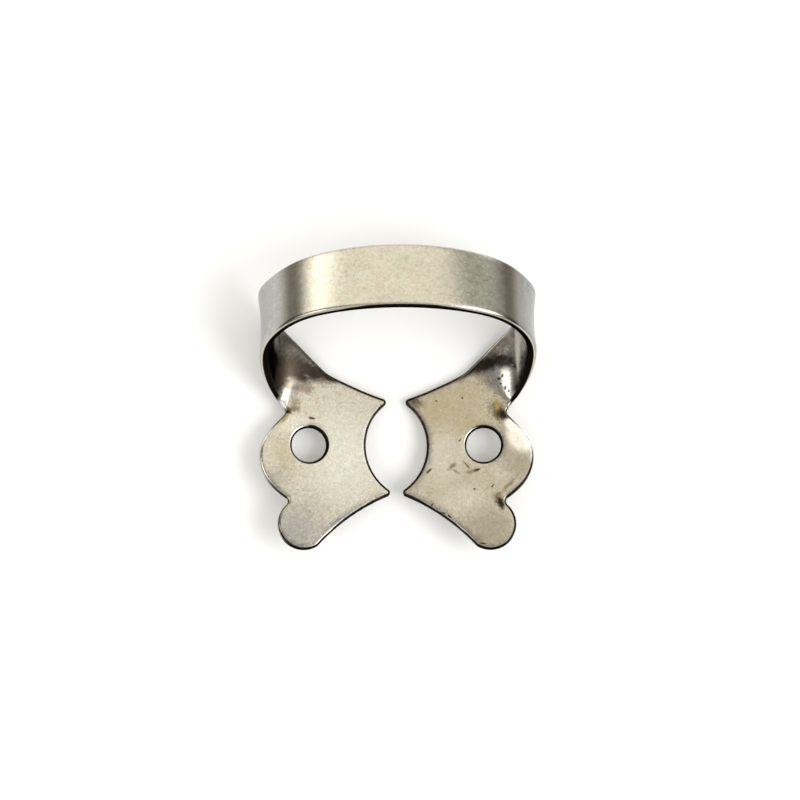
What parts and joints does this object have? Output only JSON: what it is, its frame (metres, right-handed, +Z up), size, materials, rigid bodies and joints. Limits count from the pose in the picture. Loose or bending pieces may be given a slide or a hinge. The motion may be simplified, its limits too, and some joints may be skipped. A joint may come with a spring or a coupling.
{
  "type": "rubber dam clamp",
  "caption": "Winged rubber dam clamp: flat scalloped jaws with forceps holes and pointed prongs, joined by a broad springy bow that arches over the tooth.",
  "frame": {"origin": "middle of the part's footprint on the table, at the level of the table", "axes": "+X to the right across the jaws, +Y towards the back of the bow, +Z up from the table with the clamp at rest on its heels and rear prongs"},
  "size_m": [0.023, 0.0252, 0.0118],
  "materials": {
    "steel": "tumbled satin spring steel, slightly warm, with light heat tint at the bends"
  },
  "bodies": {
    "root": {"clamp": "steel"}
  },
  "joints": []
}
